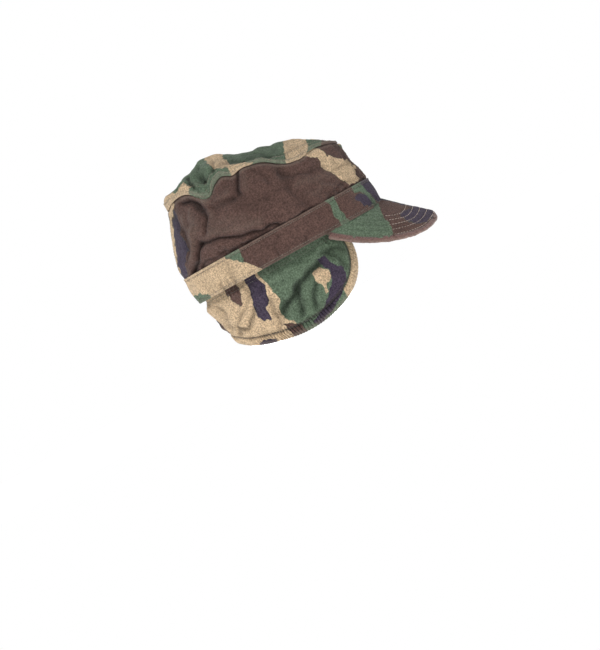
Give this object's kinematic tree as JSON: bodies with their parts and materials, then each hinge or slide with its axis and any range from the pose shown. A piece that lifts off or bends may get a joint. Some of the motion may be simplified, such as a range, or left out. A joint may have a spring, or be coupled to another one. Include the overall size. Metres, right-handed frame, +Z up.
{
  "type": "field cap with ear flap",
  "caption": "Soft camouflage field cap with a stiff sloping visor and a quilted ear flap round the nape that goes up inside the band.",
  "frame": {"origin": "middle of the head opening, in the plane of the band's lower edge", "axes": "+X towards the visor, +Y towards the wearer's left, +Z up through the crown"},
  "size_m": [0.2527, 0.174, 0.1907],
  "materials": {
    "camouflage_cloth": "woven twill, printed in four colours",
    "lining_cloth": "plain brushed cotton",
    "binding_cloth": "woven twill, folded and stitched",
    "interlining": "stiff woven canvas",
    "wadding": "needled fibre",
    "elastic": "ribbed elastic tape",
    "label_cloth": "plain woven tape",
    "visor_board": "smooth sheet",
    "thread": "twisted sewing thread"
  },
  "bodies": {
    "cap": {"crown_top": "camouflage_cloth", "crown_side_left": "camouflage_cloth", "crown_side_right": "camouflage_cloth", "outer_band": "camouflage_cloth", "band_interlining": "interlining", "sweatband": "lining_cloth", "care_label": "label_cloth", "visor_upper_cover": "camouflage_cloth", "visor_board": "visor_board", "visor_lower_cover": "camouflage_cloth", "visor_binding": "binding_cloth"},
    "ear_flap": {"ear_flap_outer_left": "camouflage_cloth", "ear_flap_outer_right": "camouflage_cloth", "ear_flap_wadding_left": "wadding", "ear_flap_wadding_right": "wadding", "ear_flap_lining_left": "lining_cloth", "ear_flap_lining_right": "lining_cloth", "ear_flap_elastic": "elastic"}
  },
  "joints": [
    {"name": "ear_flap_stow", "type": "slide", "parent": "cap", "child": "ear_flap", "axis": [0.061, 0, 0.9981], "range_m": [0, 0.07]}
  ]
}
